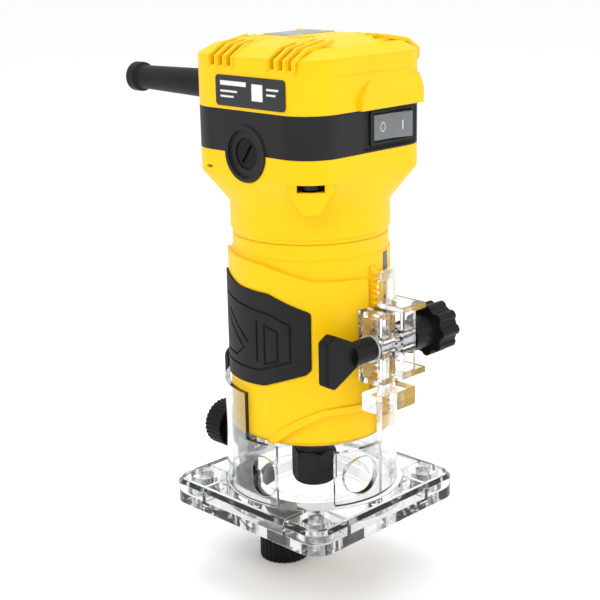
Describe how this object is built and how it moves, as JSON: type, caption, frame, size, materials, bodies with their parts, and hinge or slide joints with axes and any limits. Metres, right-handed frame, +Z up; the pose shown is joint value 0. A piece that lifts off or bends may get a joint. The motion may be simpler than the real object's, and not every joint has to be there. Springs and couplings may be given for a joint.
{
  "type": "trim router",
  "caption": "Compact trim router: motor in a clear plastic base with height rack and knob, clamp paddle, rocker switch, collet nut, cord guard and edge guide.",
  "frame": {"origin": "on the spindle axis in the plane of the sole, the underside of the clear base", "axes": "+Z up along the spindle towards the top cap; -Y towards the switch; +Y towards the cord guard and edge guide; -X towards the label; +X towards the height knob"},
  "size_m": [0.088, 0.1613, 0.2307],
  "materials": {
    "housing_yellow": "satin moulded bright yellow",
    "head_black": "fine-grained black moulding",
    "soft_black": "matte moulded rubber",
    "label_dark": null,
    "label_silver": "blank brushed foil",
    "rocker_grey": "glossy grey",
    "knob_black": "satin black",
    "clear_plastic": "clear polycarbonate",
    "steel": "zinc plated",
    "black_steel": "black oxide",
    "brass": "turned",
    "laminations": "stacked sheet",
    "copper": "enamelled copper wire",
    "carbon": "carbon",
    "fan_grey": "moulded nylon"
  },
  "bodies": {
    "base": {"clear_plate": "clear_plastic", "side_guard": "clear_plastic", "front_guard": "clear_plastic", "clamp_sleeve": "clear_plastic", "sole_inserts": "steel", "clamp_bolt": "steel", "clamp_washer": "steel", "guide_stud": "steel"},
    "paddle": {"paddle_knob": "knob_black", "paddle_nut": "brass"},
    "height_knob": {"star_knob": "knob_black", "height_pinion": "steel"},
    "guide": {"guide_bracket": "black_steel", "roller_stud": "steel"},
    "guide_clamp_knob": {"guide_knob": "knob_black", "guide_knob_nut": "brass"},
    "roller": {"guide_roller": "fan_grey"},
    "under_knob": {"roller_knob": "knob_black"},
    "motor": {"motor_housing": "housing_yellow", "top_cap": "housing_yellow", "mid_band": "head_black", "grip_pad": "soft_black", "head_screws": "black_steel", "side_label": "label_dark", "top_label": "label_silver", "scale_strip": "label_dark", "cord_guard": "soft_black", "cord_clamp": "head_black", "cord_clamp_screws": "steel", "clamp_bridge": "head_black", "switch_case": "head_black", "switch_terminals": "brass", "capacitor": "head_black", "stator_core": "laminations", "field_coils": "copper", "fan_baffle": "fan_grey", "lower_bearing": "steel", "bearing_retainer": "steel", "upper_bearing": "steel", "bearing_boot": "soft_black", "bearing_bridge": "head_black", "brush_holders": "brass", "carbon_brushes": "carbon", "brush_springs": "steel", "brush_caps": "knob_black"},
    "switch_rocker": {"rocker": "rocker_grey"},
    "spindle": {"armature_shaft": "steel", "armature_core": "laminations", "armature_windings": "copper", "commutator": "copper", "cooling_fan": "fan_grey", "collet": "steel"},
    "nut": {"collet_nut": "black_steel"}
  },
  "joints": [
    {"name": "motor_slide", "type": "slide", "parent": "base", "child": "motor", "axis": [0, 0, 1], "range_m": [-0.014, 0.025]},
    {"name": "height_knob_turn", "type": "hinge", "parent": "base", "child": "height_knob", "pos_m": [0.0014, -0.0405, 0.0775], "axis": [1, 0, 0], "range_deg": [-130, 230]},
    {"name": "clamp_turn", "type": "hinge", "parent": "base", "child": "paddle", "pos_m": [-0.024, -0.0405, 0.0775], "axis": [1, 0, 0], "range_deg": [0, 180]},
    {"name": "guide_slide", "type": "slide", "parent": "base", "child": "guide", "axis": [0, 0, 1], "range_m": [-0.028, 0.0035]},
    {"name": "guide_knob_turn", "type": "hinge", "parent": "base", "child": "guide_clamp_knob", "pos_m": [0, 0.053, 0.0195], "axis": [0, 1, 0], "range_deg": [0, 360]},
    {"name": "roller_spin", "type": "hinge", "parent": "guide", "child": "roller", "pos_m": [0, 0.0196, -0.018], "axis": [0, 0, 1], "continuous": true},
    {"name": "under_knob_turn", "type": "hinge", "parent": "guide", "child": "under_knob", "pos_m": [0, 0.0196, -0.03], "axis": [0, 0, 1], "range_deg": [0, 360]},
    {"name": "rocker_tip", "type": "hinge", "parent": "motor", "child": "switch_rocker", "pos_m": [0.0112, -0.032, 0.1623], "axis": [0, 0, 1], "range_deg": [0, 18]},
    {"name": "spindle_spin", "type": "hinge", "parent": "motor", "child": "spindle", "pos_m": [0, 0, 0.1], "axis": [0, 0, 1], "continuous": true},
    {"name": "collet_nut_turn", "type": "hinge", "parent": "spindle", "child": "nut", "pos_m": [0, 0, 0.0155], "axis": [0, 0, 1], "range_deg": [0, 360]}
  ],
  "couplings": [
    {"joint": "height_knob_turn", "follows": "motor_slide", "rad_per_m": 156.25}
  ]
}
